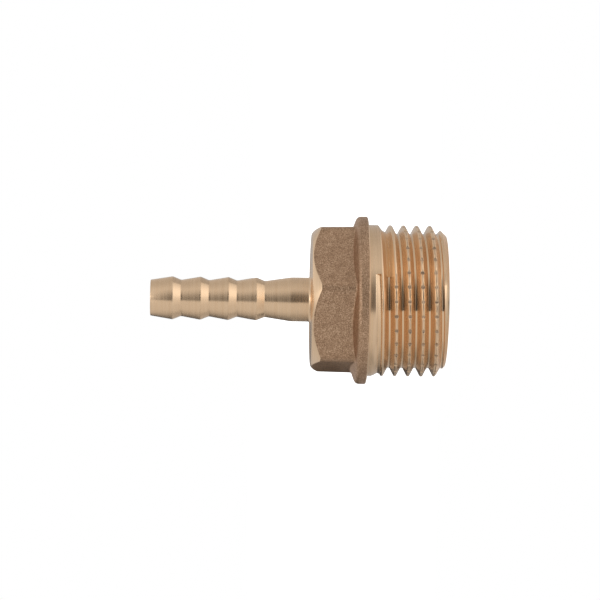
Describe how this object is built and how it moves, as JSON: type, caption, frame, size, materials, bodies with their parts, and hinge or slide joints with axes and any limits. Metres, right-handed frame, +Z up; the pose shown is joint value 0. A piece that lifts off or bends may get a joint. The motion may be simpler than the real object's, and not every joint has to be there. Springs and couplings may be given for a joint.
{
  "type": "hose barb tail",
  "caption": "Brass hose barb tail: ribbed tail for a small hose, hexagon for a spanner, round flange, and a male parallel pipe thread with a wide bore.",
  "frame": {"origin": "centre of the thread's end face, on which the fitting stands", "axes": "+Z up the fitting's axis, from the thread's end face to the tip of the tail; +X across it, 20.2 degrees round from a corner of the hexagon"},
  "size_m": [0.0232, 0.0232, 0.0407],
  "materials": {
    "brass": "turned bright on the tail, end faces and thread; shot-blasted forging skin on the hexagon's sides and the flange"
  },
  "bodies": {
    "root": {"hose_barb_tail": "brass"}
  },
  "joints": []
}
